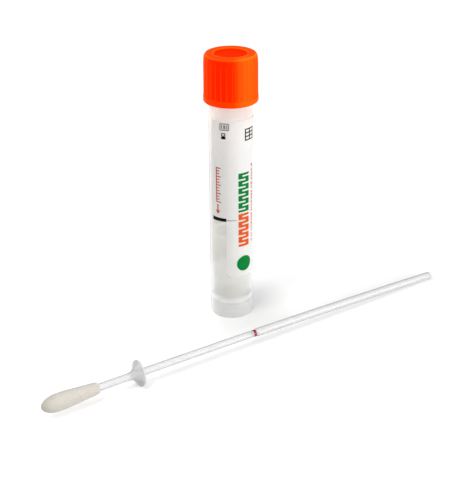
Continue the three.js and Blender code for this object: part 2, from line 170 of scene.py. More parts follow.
bench_half_width = 6
swab_angle = math.radians(34.1)
along_swab = (math.cos(swab_angle), math.sin(swab_angle), 0)
across_swab = (-math.sin(swab_angle), math.cos(swab_angle), 0)
swab_from_axis = 25.05 * mm
tube_shade = (12 * mm, 26 * mm)
tube_painted_fill_side = (-4 * mm, -12 * mm)
swab_shade = (6 * mm, 18 * mm)
swab_painted_fill_end = (-40 * mm, -80 * mm)
open_bench = (120 * mm, 700 * mm)


def bench_top():
    finish = Finish("bench_top")
    paint = finish.mix(finish.noise(40), colour("e6e6e6"), colour("ebebeb"))
    matt = finish.node("BsdfDiffuse", {}, {"Color": paint})
    offset = finish.vector("SUBTRACT", finish.place(), axis)
    away = finish.measure("LENGTH", offset)
    along = finish.measure("DOT_PRODUCT", offset, along_swab)
    beside = abs(finish.measure("DOT_PRODUCT", offset, across_swab) + swab_from_axis)
    off_tube = finish.ramp(away, *tube_shade)
    # Painted light on the bench: the glow is raised left of the tube and towards the bud's end,
    # which pales their shadows there.
    painted_fill_side = finish.ramp(finish.part(offset, "X"), *tube_painted_fill_side)
    off_tube = off_tube.math("MAXIMUM", off_tube, painted_fill_side)
    off_swab = finish.ramp(beside, *swab_shade)
    painted_fill_end = finish.ramp(along, *swab_painted_fill_end)
    far = finish.ramp(away, *open_bench)
    glow = 0.25 + off_tube * (0.12 + 0.1 * off_swab) + 0.2 * painted_fill_end + 0.4 * far
    seen = finish.node("LightPath", output=0)
    mirrored = finish.node("LightPath", output=3)
    strength = glow * (seen + mirrored)
    lift = finish.node("Emission", {}, {"Color": colour("ffffff"), "Strength": strength})
    both = finish.node("AddShader", {}, {0: matt, 1: lift})
    finish.node("OutputMaterial", {}, {"Surface": both})
    return finish.material


bench_mesh = bmesh.new()
bmesh.ops.create_grid(bench_mesh, x_segments=1, y_segments=1, size=bench_half_width)
bench_data = bpy.data.meshes.new("bench")
bench_mesh.to_mesh(bench_data)
bench_mesh.free()
bench_data.materials.append(bench_top())
bench = bpy.data.objects.new("bench", bench_data)
bpy.context.scene.collection.objects.link(bench)


def softbox(name, place, width, power):
    """A square soft lamp at a place measured from the tube's foot, facing the tube."""
    light = bpy.data.lights.new(name, "AREA")
    light.shape = "SQUARE"
    light.size = width
    light.energy = power
    lamp = bpy.data.objects.new(name, light)
    lamp.location = axis + Vector(place)
    middle = axis + Vector((0, 0, tube_high.z / 2))
    lamp.rotation_euler = (middle - lamp.location).to_track_quat("-Z", "Y").to_euler()
    bpy.context.scene.collection.objects.link(lamp)


softbox("right_softbox", (0.6, -0.24, 0.13), 0.26, 2.8)
softbox("front_left_lamp", (-0.2, -0.22, 0.5), 0.26, 1.3)
softbox("overhead_lamp", (-0.2, 0.1, 0.6), 0.5, 0.9)

# The room's own light is dim, and the room itself looks white.
room_light = 0.24
studio = Finish("studio", bpy.data.worlds)
bpy.context.scene.world = studio.material
brightness = room_light + (1 - room_light) * studio.node("LightPath", output=0)
room = studio.node("Background", {}, {"Color": colour("ffffff"), "Strength": brightness})
studio.node("OutputWorld", {}, {"Surface": room})


# ------------------------------------------------------------------ the tube
# One injection moulding of natural, milky polypropylene: a straight body with a threaded
# neck, a conical floor that gathers the last drops, and a skirt that lets it stand alone.

body_radius = (tube_high.x - tube_low.x) / 2 / mm
lip_height = tube_high.z / mm
body_wall = 1.2
bore_radius = body_radius - body_wall
neck_radius = body_radius - 0.4
neck_foot = 84.25
skirt_wall = 1.1
skirt_radius = body_radius - skirt_wall
skirt_height = 7.2
cone_top = 9.6
cone_shoulder = cone_top - 1.1
cone_floor = 3.2
cone_end_radius = 1.8
cone_wall = 1.1
thread_pitch = 3
thread_turns = 2.5
thread_steps = 72
tube_thread_foot = neck_foot + 1.75
thread_depth = 0.35
thread_flank = 0.5
thread_flat = 0.4
skin_zone = ((bore_radius + 0.1) * mm, (bore_radius + 0.6) * mm)
skirt_zone = (5 * mm, 6.2 * mm)
cap_light_zone = (74 * mm, 82 * mm)
neck_zone = (84 * mm, 86 * mm)
web_middle = (skirt_height + 0.1) * mm
web_half_width = 1.5 * mm


def turned(outline, steps, closed=True):
    """A solid turned about +Z from its outline's corners: (radius, height, rounding)."""
    mesh = bmesh.new()
    corners = [mesh.verts.new((radius * mm, 0, height * mm)) for radius, height, _ in outline]
    for first, second in zip(corners, corners[1:] + corners[:1] if closed else corners[1:]):
        mesh.edges.new((first, second))
    for corner, (_, _, rounding) in zip(corners, outline):
        if rounding:
            bmesh.ops.bevel(
                mesh,
                geom=[corner],
                offset=rounding * mm,
                segments=5,
                profile=0.5,
                affect="VERTICES",
                material=-1,
            )
    bmesh.ops.spin(
        mesh,
        geom=mesh.verts[:] + mesh.edges[:],
        axis=(0, 0, 1),
        cent=(0, 0, 0),
        angle=2 * math.pi,
        steps=steps,
        use_merge=True,
    )
    bmesh.ops.remove_doubles(mesh, verts=mesh.verts, dist=0.001 * mm)
    bmesh.ops.recalc_face_normals(mesh, faces=mesh.faces)
    return mesh


def add_thread(mesh, root, crest, foot):
    """Adds a screw thread that climbs by its pitch between a root and a crest radius."""
    crest_foot = foot + thread_flank
    crest_head = crest_foot + thread_flat
    head = crest_head + thread_flank
    profile = ((root, foot), (crest, crest_foot), (crest, crest_head), (root, head))
    corners = [mesh.verts.new((radius * mm, 0, height * mm)) for radius, height in profile]
    section = mesh.faces.new(corners)
    steps = int(thread_steps * thread_turns)
    bmesh.ops.spin(
        mesh,
        geom=[section, *section.edges, *section.verts],
        axis=(0, 0, 1),
        cent=(0, 0, 0),
        dvec=(0, 0, thread_pitch * thread_turns / steps * mm),
        angle=2 * math.pi * thread_turns,
        steps=steps,
    )
    bmesh.ops.recalc_face_normals(mesh, faces=mesh.faces)


def piece(name, mesh, material, body, node, sharp=35):
    """Finishes a mesh as an object that rides on a body and stands for a CAD node."""
    data = bpy.data.meshes.new(name)
    mesh.to_mesh(data)
    mesh.free()
    data.shade_smooth()
    data.set_sharp_from_angle(angle=math.radians(sharp))
    data.materials.append(material)
    made = bpy.data.objects.new(name, data)
    bpy.context.scene.collection.objects.link(made)
    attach(made, body)
    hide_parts(node)
    return made


def milky_plastic():
    finish = Finish("milky_polypropylene")
    offset = finish.vector("SUBTRACT", finish.place(), axis)
    height = finish.part(offset, "Z")
    level = finish.vector("MULTIPLY", offset, (1, 1, 0))
    out = finish.vector("NORMALIZE", level)
    cloud = finish.noise(160, 3)
    edge = finish.edge()
    # The outer skin of the wall, the web over the skirt, the skirt, and the zone under the cap,
    # which gets painted pink light from the orange cap.
    reach = finish.measure("LENGTH", level)
    outside = finish.ramp(reach, *skin_zone)
    off_web = height - web_middle
    web = finish.ramp(off_web * off_web, 0, web_half_width**2, 1, 0)
    skirt = finish.ramp(height, *skirt_zone, 1, 0)
    painted_cap_light = finish.ramp(height, *cap_light_zone) * finish.ramp(height, *neck_zone, 1, 0)
    # Painted light: the left wall's edge glows white, a painted highlight; elsewhere the last of the
    # edge is painted grey, a painted shade.
    left = finish.ramp(finish.measure("DOT_PRODUCT", out, (-1, 0, 0)), 0.6, 0.95, 0.3, 1)
    outline = finish.ramp(edge, 0.7, 0.95)
    tint = finish.mix(cloud, colour("ececea"), colour("f2f2f0"))
    tint = finish.mix(skirt, tint, colour("ebebe9"))
    # Painted pink light from the orange cap, just under it.
    tint = finish.mix(0.8 * painted_cap_light, tint, colour("f8e4dc"))
    tint = finish.mix(outline, tint, colour("d2d2d0"))
    # The wall glows faintly all over with painted light, and the web over the skirt glows paler
    # still.
    glow = finish.mix(edge * edge * left, colour("2c2c2c"), colour("ffffff"))
    glow = finish.mix(0.45 * web, glow, colour("ffffff"))
    glow = finish.mix(outline, glow, colour("6c6c6c"))
    rim = 0.75 * edge * edge * left * left
    milkiness = 0.3 + 0.06 * cloud - 0.16 * edge + 0.15 * web + rim
    return finish.surface(
        {
            "Base Color": tint,
            "Emission Color": glow,
            "Emission Strength": 0.6,
            "Roughness": 0.26 + 0.06 * finish.noise(300),
            "Alpha": 0.04 + 0.2 * skirt + outside * milkiness,
            "Normal": finish.bump(finish.noise(90), 0.001 * mm),
        }
    )


tube_mesh = turned(
    [
        (0, cone_floor, 0),
        (cone_end_radius, cone_floor, 0.5),
        (bore_radius - 0.5, cone_shoulder, 0.3),
        (bore_radius, cone_top, 0.4),
        (bore_radius, lip_height, 0.2),
        (neck_radius, lip_height, 0.2),
        (neck_radius, neck_foot + 0.4, 0.15),
        (body_radius, neck_foot, 0.15),
        (body_radius, 0, 0.35),
        (skirt_radius, 0, 0.2),
        (skirt_radius, skirt_height, 0.3),
        (bore_radius - 0.9, skirt_height, 0.3),
        (cone_end_radius + 0.9, cone_floor - cone_wall + 0.2, 0.3),
        (0, cone_floor - cone_wall, 0),
    ],
    120,
    closed=False,
)
add_thread(tube_mesh, neck_radius - 0.1, neck_radius + thread_depth, tube_thread_foot)
bmesh.ops.translate(tube_mesh, vec=axis, verts=tube_mesh.verts)
piece("tube_moulding", tube_mesh, milky_plastic(), "tube", "tube")


# ------------------------------------------------------------------ the transport medium
# A clear buffer with a faint cloudiness. It fills the cone and the bore to a third of the
# tube's height, and its surface climbs the wall a little all round.

medium_low, medium_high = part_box("transport_medium")
medium_clearance = 0.06
floor_clearance = 0.05
medium_radius = (medium_high.x - medium_low.x) / 2 / mm - medium_clearance
medium_top = medium_high.z / mm
surface_height = medium_top - 0.5
climb_width = 1.6
ring_zone = ((medium_radius - 0.7) * mm, (medium_radius - 0.3) * mm)
surface_zone = ((medium_top - 1.2) * mm, (medium_top - 0.6) * mm)
deep_zone = (14 * mm, 34 * mm)


def cloudy_liquid():
    finish = Finish("transport_liquid")
    cloud = finish.noise(70, 3)
    place = finish.place()
    height = finish.part(place, "Z")
    level = finish.vector("MULTIPLY", place, (1, 1, 0))
    reach = finish.measure("DISTANCE", level, axis)
    # The ring that climbs the wall is painted paler, a painted highlight, and the flat surface
    # inside it nearly clear.
    ring = finish.ramp(reach, *ring_zone)
    top = finish.ramp(height, *surface_zone)
    brim = top * ring
    open_surface = top * (1 - ring)
    tint = finish.mix(cloud, colour("dcdbd4"), colour("e2e1da"))
    tint = finish.mix(0.7 * brim, tint, colour("fbfaf5"))
    high = finish.ramp(height, *deep_zone)
    return finish.surface(
        {
            "Base Color": tint,
            "Roughness": 0.06 + 0.04 * cloud,
            "Alpha": 0.42 + 0.06 * cloud + 0.12 * brim - 0.26 * open_surface,
            "IOR": 1.34,
            # The liquid glows with painted light, less of it lower down, which is painted shade
            # towards the bottom.
            "Emission Color": finish.mix(high, colour("aaa9a3"), tint),
            "Emission Strength": 0.45,
        }
    )


medium_mesh = turned(
    [
        (0, cone_floor + floor_clearance, 0),
        (cone_end_radius - floor_clearance, cone_floor + floor_clearance, 0.5),
        (medium_radius - 0.5, cone_shoulder + floor_clearance, 0.3),
        (medium_radius, cone_top + floor_clearance, 0.4),
        (medium_radius, medium_top, 0),
        (medium_radius - climb_width * 0.35, surface_height, 0.4),
        (medium_radius - climb_width, surface_height, 0),
        (0, surface_height, 0),
    ],
    120,
    closed=False,
)
bmesh.ops.translate(medium_mesh, vec=axis, verts=medium_mesh.verts)
piece("medium_liquid", medium_mesh, cloudy_liquid(), "tube", "transport_medium")


# ------------------------------------------------------------------ the screw cap
# One moulding of bright orange polyethylene. Fine ribs for the fingers run from the collar
# into the shoulder; inside are the thread and a plug whose funnel catches the swab's end.

cap_low, cap_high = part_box("cap")
cap_bottom = cap_low.z / mm
cap_top = cap_high.z / mm
cap_bore = body_radius + 0.35
collar_radius = cap_bore + 1.55
collar_top = cap_bottom + 2.2
grip_low = cap_bore + 1.2
grip_high = grip_low - 0.12
recess_mouth = grip_high - 3.25
recess_foot = grip_high - 3.85
recess_floor = cap_top - 1.1
ceiling = recess_floor - 1
plug_radius = bore_radius - 0.12
plug_end = ceiling - 12
funnel_radius = 1.6
funnel_throat = ceiling - 2.5
rib_count = 30
rib_height = 0.24
rib_sharpness = 4
rib_fade = 1.2
rib_phase = math.radians(4)
cap_thread_foot = neck_foot + 0.35
painted_shade_angle = -20
painted_gleam_angle = 35
crest_zone = (grip_low * mm, (grip_low + rib_height) * mm)
shoulder_zone = ((cap_top - 1) * mm, (cap_top - 0.3) * mm)
flat_zone = ((cap_top - 0.15) * mm, (cap_top - 0.02) * mm)
sunk_zone = ((recess_floor - 0.3) * mm, (recess_floor - 0.1) * mm)
recess_zone = ((recess_mouth - 0.23) * mm, (recess_mouth - 0.03) * mm)
lip_zone = ((recess_mouth + 0.52) * mm, (recess_mouth + 0.22) * mm)


def level_way(angle):
    """A level direction, by its angle from the tube's front."""
    return (math.sin(math.radians(angle)), -math.cos(math.radians(angle)), 0)


def orange_plastic():
    finish = Finish("orange_polyethylene")
    offset = finish.vector("SUBTRACT", finish.place(), axis)
    height = finish.part(offset, "Z")
    level = finish.vector("MULTIPLY", offset, (1, 1, 0))
    girth = finish.measure("LENGTH", level)
    out = finish.vector("NORMALIZE", level)
    cloud = finish.noise(220, 3)
    edge = finish.edge()
    # Painted light and shade: the red is deepest, a painted shade, a little left of the front and
    # paler elsewhere; a painted highlight lies on the right.
    painted_light = finish.ramp(finish.measure("DOT_PRODUCT", out, level_way(painted_shade_angle)), 1, 0.2)
    painted_gleam = finish.ramp(finish.measure("DOT_PRODUCT", out, level_way(painted_gleam_angle)), 0.88, 1)
    # Places on the cap: the ribs' crests, the shoulder's rounding, the recess and its lip.
    crest = finish.ramp(girth, *crest_zone)
    flat_top = finish.ramp(height, *flat_zone)
    shoulder = finish.ramp(height, *shoulder_zone) * (1 - flat_top)
    near_top = finish.ramp(height, *sunk_zone)
    sunk = near_top * finish.ramp(girth, *recess_zone, 1, 0)
    lip = finish.ramp(girth, *lip_zone) * (1 - sunk) * near_top
    tint = finish.mix(cloud, colour("ff2000"), colour("ff2600"))
    tint = finish.mix(painted_light, tint, colour("ff5000"))
    # Painted highlights on the ribs' crests and the shoulder's rounding.
    tint = finish.mix(0.2 * crest, tint, colour("ff7800"))
    tint = finish.mix((0.4 + 0.5 * painted_light) * shoulder, tint, colour("ff8010"))
    # Painted shade on the flat top and in the recess, and a painted highlight on the lip.
    tint = finish.mix(flat_top * near_top, tint, colour("f83400"))
    tint = finish.mix(sunk, tint, colour("f82a00"))
    tint = finish.mix(0.5 * lip, tint, colour("ff7800"))
    # The painted highlight on the right, kept out of the recess.
    tint = finish.mix(0.3 * painted_gleam * (1 - sunk), tint, colour("ff8c20"))
    # Painted shade where the surface turns from the eye.
    tint = finish.mix(0.7 * edge * edge * edge * (1 - sunk), tint, colour("d87000"))
    return finish.surface(
        {
            "Base Color": tint,
            "Roughness": 0.3 + 0.08 * finish.noise(1400) + 0.4 * sunk,
            "Normal": finish.bump(finish.noise(1200), 0.006 * mm),
            "IOR": 1.08,
            "Specular Tint": (1, 0.45, 0.02, 1),
            "Sheen Weight": 0.3,
            "Sheen Roughness": 0.35,
            "Sheen Tint": (1, 0.3, 0, 1),
            # A faint painted red glow over the whole cap.
            "Emission Color": (1, 0.01, 0, 1),
            "Emission Strength": 0.3,
        }
    )


cap_mesh = turned(
    [
        (cap_bore, cap_bottom, 0.4),
        (collar_radius, cap_bottom, 0.5),
        (collar_radius, collar_top - 0.1, 0.2),
        (grip_low, collar_top + 0.1, 0.15),
        (grip_low - 0.04, collar_top + 2.5, 0),
        (grip_high + 0.04, cap_top - 3.4, 0),
        (grip_high, cap_top, 1.1),
        (recess_mouth, cap_top, 0.3),
        (recess_foot, recess_floor, 0.3),
        (0, recess_floor, 0),
        (0, ceiling, 0),
        (funnel_radius, ceiling, 0.2),
        (funnel_radius, funnel_throat, 0.5),
        (plug_radius - 0.9, plug_end, 0.2),
        (plug_radius - 0.2, plug_end, 0.3),
        (plug_radius, plug_end + 0.9, 0.3),
        (plug_radius, ceiling, 0.2),
        (cap_bore, ceiling, 0.3),
    ],
    rib_count * 16,
)
rib_foot = (collar_top + 0.1) * mm
rib_head = (cap_top - 0.5) * mm
for vert in cap_mesh.verts:
    radius = vert.co.xy.length
    if rib_foot < vert.co.z < rib_head and radius > (cap_bore + 0.3) * mm:
        share = (math.atan2(vert.co.y, vert.co.x) / math.tau * rib_count) % 1
        crest = max(0, math.cos((share - 0.5) * math.tau)) ** rib_sharpness
        fade = min(1, (rib_head - vert.co.z) / mm / rib_fade)
        growth = 1 + rib_height * mm * crest * fade / radius
        vert.co.x *= growth
        vert.co.y *= growth
add_thread(cap_mesh, cap_bore + 0.1, cap_bore - thread_depth, cap_thread_foot)
turn = Matrix.Rotation(rib_phase, 4, "Z")
bmesh.ops.transform(cap_mesh, matrix=Matrix.Translation(axis) @ turn, verts=cap_mesh.verts)
piece("screw_cap", cap_mesh, orange_plastic(), "cap", "cap")


# ------------------------------------------------------------------ the sealing ring
# A soft ring moulded in white elastomer and pressed up into the cap, round its plug. It
# closes on the tube's lip when the cap is screwed down.

seal_low, seal_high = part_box("cap_seal")
seal_inner = plug_radius + 0.1
seal_outer = cap_bore - 0.1


def soft_rubber():
    finish = Finish("white_elastomer")
    grain = finish.noise(600)
    tint = finish.mix(grain, colour("e9e7e1"), colour("f1f0eb"))
    return finish.surface({"Base Color": tint, "Roughness": 0.55 + 0.15 * grain})


seal_mesh = turned(
    [
        (seal_inner, seal_low.z / mm, 0.2),
        (seal_outer, seal_low.z / mm, 0.2),
        (seal_outer, seal_high.z / mm, 0.2),
        (seal_inner, seal_high.z / mm, 0.2),
    ],
    96,
)
bmesh.ops.translate(seal_mesh, vec=axis, verts=seal_mesh.verts)
piece("sealing_ring", seal_mesh, soft_rubber(), "seal", "cap_seal")


# ------------------------------------------------------------------ the wrap label
# White coated film, wound nearly all the way round and stuck down. Its corners are round,
# and a strip is cut away at the lower left so that the level of the medium shows.

label_low, label_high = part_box("label")
label_bottom = label_low.z / mm
label_top = label_high.z / mm
label_radius = body_radius + 0.03
label_thickness = 0.12
label_left = math.radians(-59) * label_radius
label_right = math.radians(268) * label_radius
label_corner = 1.8
window_right = math.radians(-12.4) * label_radius
window_top = 39.3
bend_angle = math.radians(3)
back_zone = (60 * mm, 70 * mm)


def rounded(mesh, corners, rounding):
    """Rounds corners of a flat face."""
    bmesh.ops.bevel(
        mesh,
        geom=corners,
        offset=rounding * mm,
        segments=6,
        profile=0.5,
        affect="VERTICES",
        material=-1,
    )


def patch(mesh, corners, middle=(0, 0), rounding=0):
    """Adds a flat face: x runs along the tube's girth and z up it, both in mm."""
    earlier = set(mesh.faces)
    across, up = middle
    verts = [mesh.verts.new(((x + across) * mm, 0, (z + up) * mm)) for x, z in corners]
    mesh.faces.new(verts)
    if rounding:
        rounded(mesh, verts, rounding)
    return (set(mesh.faces) - earlier).pop()


def cut(mesh, place, normal):
    """Cuts the whole mesh along a plane, and keeps both sides."""
    everything = mesh.verts[:] + mesh.edges[:] + mesh.faces[:]
    bmesh.ops.bisect_plane(mesh, geom=everything, plane_co=place, plane_no=normal)


def wrap(mesh, radius, thickness):
    """Bends flat faces round the tube and gives them their thickness outwards."""
    strip = bend_angle * radius
    widest = max(abs(vert.co.x) for vert in mesh.verts) / mm
    for step in range(-int(widest / strip) - 1, int(widest / strip) + 2):
        cut(mesh, (step * strip * mm, 0, 0), (1, 0, 0))
    for face in mesh.faces:
        face.normal_update()
        if face.normal.y > 0:
            face.normal_flip()
    raised = bmesh.ops.extrude_face_region(mesh, geom=mesh.faces[:], use_keep_orig=True)
    outer = [item for item in raised["geom"] if isinstance(item, bmesh.types.BMVert)]
    bmesh.ops.translate(mesh, vec=(0, -thickness * mm, 0), verts=outer)
    for vert in mesh.verts:
        angle = vert.co.x / (radius * mm)
        reach = radius * mm - vert.co.y
        vert.co = axis + Vector((reach * math.sin(angle), -reach * math.cos(angle), vert.co.z))
    bmesh.ops.recalc_face_normals(mesh, faces=mesh.faces)


def label_film():
    finish = Finish("white_label_film")
    fibre = finish.noise(500, 4)
    tint = finish.mix(fibre, colour("eaeae8"), colour("f0f0ee"))
    return finish.surface(
        {
            "Base Color": tint,
            "Roughness": 0.38 + 0.1 * fibre,
            "Normal": finish.bump(fibre, 0.004 * mm),
            "Subsurface Weight": 1,
            "Subsurface Radius": (1, 1, 1),
            "Subsurface Scale": 0.3 * mm,
        }
    )


def label_back():
    """The film's inner side, which glows with painted light, less of it lower down the tube."""
    finish = Finish("label_film_back")
    fibre = finish.noise(300, 3)
    tint = finish.mix(fibre, colour("ecebe6"), colour("f3f2ee"))
    near_mouth = finish.ramp(finish.part(finish.place(), "Z"), *back_zone)
    return finish.surface(
        {
            "Base Color": tint,
            "Roughness": 0.5 + 0.1 * fibre,
            "Emission Color": finish.mix(near_mouth, colour("b0b0aa"), tint),
            "Emission Strength": 0.6,
        }
    )


label_mesh = bmesh.new()
label_face = patch(
    label_mesh,
    (
        (label_left, window_top),
        (window_right, window_top),
        (window_right, label_bottom),
        (label_right, label_bottom),
        (label_right, label_top),
        (label_left, label_top),
    ),
)
# Only the second corner, where the two cuts of the window meet, is left sharp.
round_corners = [vert for place, vert in enumerate(label_face.verts) if place != 1]
rounded(label_mesh, round_corners, label_corner)
wrap(label_mesh, label_radius, label_thickness)
for face in label_mesh.faces:
    reach = (face.calc_center_median() - axis).xy.length / mm
    face.material_index = int(reach < label_radius + label_thickness / 4)
label = piece("wrap_label", label_mesh, label_film(), "tube", "label")
label.data.materials.append(label_back())


# ------------------------------------------------------------------ the label's print
# Ink laid on the film, all of it plain shapes: a fill line with its arrow and a scale
# without figures, two runs of colour, a disc, a stripe, and small marks at the top.

ink_radius = label_radius + label_thickness + 0.02
ink_thickness = 0.05


def ink_finish(name, first, second):
    finish = Finish(name)
    patchy = finish.noise(700, 3)
    tint = finish.mix(patchy, colour(first), colour(second))
    roughness = 0.42 + 0.14 * patchy
    return finish.surface({"Base Color": tint, "Roughness": roughness, "IOR": 1.15})


black_ink = ink_finish("black_ink", "020202", "0a0a0a")
grey_ink = ink_finish("grey_ink", "8c8c8c", "9e9e9e")
red_ink = ink_finish("red_ink", "cf4636", "dc5f4c")
green_ink = ink_finish("green_ink", "007a30", "0a8a3e")
orange_ink = ink_finish("orange_ink", "e45414", "ea6424")


def around(angle):
    """The way along the girth from the tube's front to an angle."""
    return math.radians(angle) * ink_radius


def box_corners(width, height):
    return (
        (-width / 2, -height / 2),
        (width / 2, -height / 2),
        (width / 2, height / 2),
        (-width / 2, height / 2),
    )


def outlined(mesh, corners, middle, rounding, line):
    """Adds only a line round the edge of a flat face."""
    face = patch(mesh, corners, middle, rounding)
    bmesh.ops.inset_individual(mesh, faces=[face], thickness=line * mm, use_even_offset=True)
    bmesh.ops.delete(mesh, geom=[face], context="FACES")


def ink(name, mesh, material):
    wrap(mesh, ink_radius, ink_thickness)
    piece(f"{name}_print", mesh, material, "tube", name)


# The fill line lies along the window's upper edge and is a little deeper on the left.
fill_left = label_left + 0.6
fill_slant = 0.1
fill_head = window_top + 1.3
fill_line = bmesh.new()
patch(
    fill_line,
    (
        (fill_left, window_top - fill_slant),
        (window_right, window_top + fill_slant),
        (window_right, fill_head),
        (fill_left, fill_head),
    ),
)
ink("fill_line", fill_line, black_ink)

# The thin guide line goes on from it over the film.
guide_length = 3.5
guide_width = 0.25
guide_gap = 0.1
guide_middle = (window_right + guide_gap + guide_length / 2, window_top + 0.6)
guide_line = bmesh.new()
patch(guide_line, box_corners(guide_length, guide_width), guide_middle, 0.08)
ink("guide_line", guide_line, grey_ink)

# The arrow points down at the fill line.
arrow_point = window_top + 2.6
arrow_height = 3.9
arrow_head_height = 1.5
arrow_head_half = 0.95
arrow_stem_half = 0.25
arrow = bmesh.new()
patch(
    arrow,
    (
        (0, 0),
        (arrow_head_half, arrow_head_height),
        (arrow_stem_half, arrow_head_height),
        (arrow_stem_half, arrow_height),
        (-arrow_stem_half, arrow_height),
        (-arrow_stem_half, arrow_head_height),
        (-arrow_head_half, arrow_head_height),
    ),
    (around(-36.3), arrow_point),
)
ink("fill_arrow", arrow, red_ink)

# The scale stands above the arrow, and every third of its ticks is longer.
scale_foot = arrow_point + 4.65
scale_line = 0.35
scale_height = 13.4
scale_ticks = 13
long_tick = 1.7
short_tick = 1.1
scale_step = (scale_height - scale_line) / (scale_ticks - 1)
scale_corners = [(0, 0)]
for tick in range(scale_ticks):
    foot = tick * scale_step
    reach = scale_line + (long_tick if tick % 3 == 0 else short_tick)
    scale_corners += [(scale_line, foot)] * (tick > 0)
    scale_corners += [(reach, foot), (reach, foot + scale_line)]
    scale_corners += [(scale_line, foot + scale_line)] * (tick < scale_ticks - 1)
scale_corners.append((0, scale_height))
scale = bmesh.new()
patch(scale, scale_corners, (around(-41.6), scale_foot))
ink("fill_scale", scale, red_ink)

# The two runs of colour stand one above the other.
run_across = around(35)
run_width = 4.4
run_notch = 0.62
run_notch_depth = 2.9


def colour_run(name, foot, length, notches, material):
    """A field of colour whose left and right sides are notched in turn."""
    tooth = (length - notches * run_notch) / (notches + 1)
    sides = ([], [])
    for notch in range(notches):
        start = tooth + notch * (tooth + run_notch)
        end = start + run_notch
        side = notch % 2
        outward = 1 if side else -1
        outer = run_width / 2 * outward
        inner = outer - run_notch_depth * outward
        sides[side].extend([(outer, start), (inner, start), (inner, end), (outer, end)])
    corners = [(-run_width / 2, 0), (run_width / 2, 0), *sides[1]]
    corners += [(run_width / 2, length), (-run_width / 2, length), *reversed(sides[0])]
    run = bmesh.new()
    patch(run, corners, (run_across, foot), 0.14)
    ink(name, run, material)


colour_run("orange_field", 29.3, 12.9, 8, orange_ink)
colour_run("green_field", 42.9, 15, 10, green_ink)

disc_across = around(36)
disc_height = 22.3
disc_radius = 3
disc = bmesh.new()
disc_place = Matrix.Translation((disc_across * mm, 0, disc_height * mm))
disc_place = disc_place @ Matrix.Rotation(math.pi / 2, 4, "X")
bmesh.ops.create_circle(disc, cap_ends=True, segments=64, radius=disc_radius * mm, matrix=disc_place)
ink("green_disc", disc, green_ink)

# The stripe is a row of fine dashes of different lengths.
random.seed(7)
stripe_across = around(63.5)
stripe_foot = 30
stripe_head = 60
stripe = bmesh.new()
dash_foot = stripe_foot
while dash_foot < stripe_head:
    dash = random.uniform(0.5, 1.6)
    corners = box_corners(random.uniform(0.4, 0.65), dash)
    patch(stripe, corners, (stripe_across, dash_foot + dash / 2))
    dash_foot += dash + random.choice((0.25, 0.25, 0.7))
ink("red_stripe", stripe, red_ink)

# Small marks near the label's top: a frame with three bars, a block under an open box.
frame_across = around(-16.6)
frame_height = 75.4
frame_bars = ((-0.95, 0.4), (0.05, 0.75), (0.95, 0.4))
bar_length = 1.4
frame_mark = bmesh.new()
outlined(frame_mark, box_corners(3.5, 2.6), (frame_across, frame_height), 0.3, 0.34)
for across, width in frame_bars:
    patch(frame_mark, box_corners(width, bar_length), (frame_across + across, frame_height))
ink("corner_frame", frame_mark, grey_ink)

block_across = around(-19.1)
block_height = 71.4
open_box_height = block_height + 1.15
block = bmesh.new()
patch(block, box_corners(1.6, 0.9), (block_across, block_height), 0.15)
outlined(block, box_corners(1.5, 1.2), (block_across, open_box_height), 0.2, 0.3)
ink("corner_block", block, black_ink)

# A square lattice of bars, which stands where a code would and encodes nothing.
lattice_across = around(54)
lattice_up = 72
lattice_side = 4.4
bar_width = 0.42
bar_height = 0.38
columns = 2
rows = 3
column = (lattice_side - bar_width) / columns
row = (lattice_side - bar_height) / rows
lattice = bmesh.new()
patch(lattice, box_corners(lattice_side, lattice_side), (lattice_across, lattice_up))
for line in range(1, 2 * columns + 1):
    step = line // 2 * column + line % 2 * bar_width - lattice_side / 2
    cut(lattice, ((lattice_across + step) * mm, 0, 0), (1, 0, 0))
for line in range(1, 2 * rows + 1):
    step = line // 2 * row + line % 2 * bar_height - lattice_side / 2
    cut(lattice, (0, 0, (lattice_up + step) * mm), (0, 0, 1))
gaps = []
for face in lattice.faces:
    middle = face.calc_center_median() / mm
    across = (middle.x - lattice_across + lattice_side / 2) % column
    up = (middle.z - lattice_up + lattice_side / 2) % row
    if across > bar_width and up > bar_height:
        gaps.append(face)
bmesh.ops.delete(lattice, geom=gaps, context="FACES")
ink("lattice_block", lattice, black_ink)


# ------------------------------------------------------------------ the swab's stick
# One moulding in white polypropylene: a thin core inside the bud, a stopper flared like a
# bell, and a groove where the stick snaps, beyond which it is thicker. It lies on the bench
# on the rim of its stopper and on its rounded tail.

swab_length = 166
core_radius = 1
core_start = 2.2
core_end = 19.8
tip_radius = 1.28
tail_radius = 1.5
tail_trim = 0.08
stopper_foot = 31.3
stopper_rim = 34.7
stopper_radius = 4.5
stopper_wall = 0.7
flare_steps = 8
break_distance = 81
break_depth = 0.2
groove_half = 0.75
groove_radius = tip_radius - break_depth
bow = 0.5
bow_step = 10
bench_gap = 0.01
tail_rest = swab_length - tail_radius
rim_edge = stopper_rim + stopper_wall / 2
slope = math.asin((stopper_radius - tail_radius) / (tail_rest - rim_edge))
tip_height = tail_radius * math.cos(slope) + tail_rest * math.sin(slope) + bench_gap
swab_tip = Vector((-59.07, -70.24, tip_height)) * mm
lying = (
    Matrix.Translation(axis + swab_tip)
    @ Matrix.Rotation(swab_angle, 4, "Z")
    @ Matrix.Rotation(math.pi / 2 + slope, 4, "Y")
)


def lay_down(mesh):
    """Lays a piece of the swab on the bench, with the stick's slight upward bow."""
    half_span = (tail_rest - rim_edge) / 2
    for vert in mesh.verts:
        along = vert.co.z / mm - rim_edge
        vert.co.x -= bow * mm * along * (2 * half_span - along) / half_span**2
    bmesh.ops.transform(mesh, matrix=lying, verts=mesh.verts)


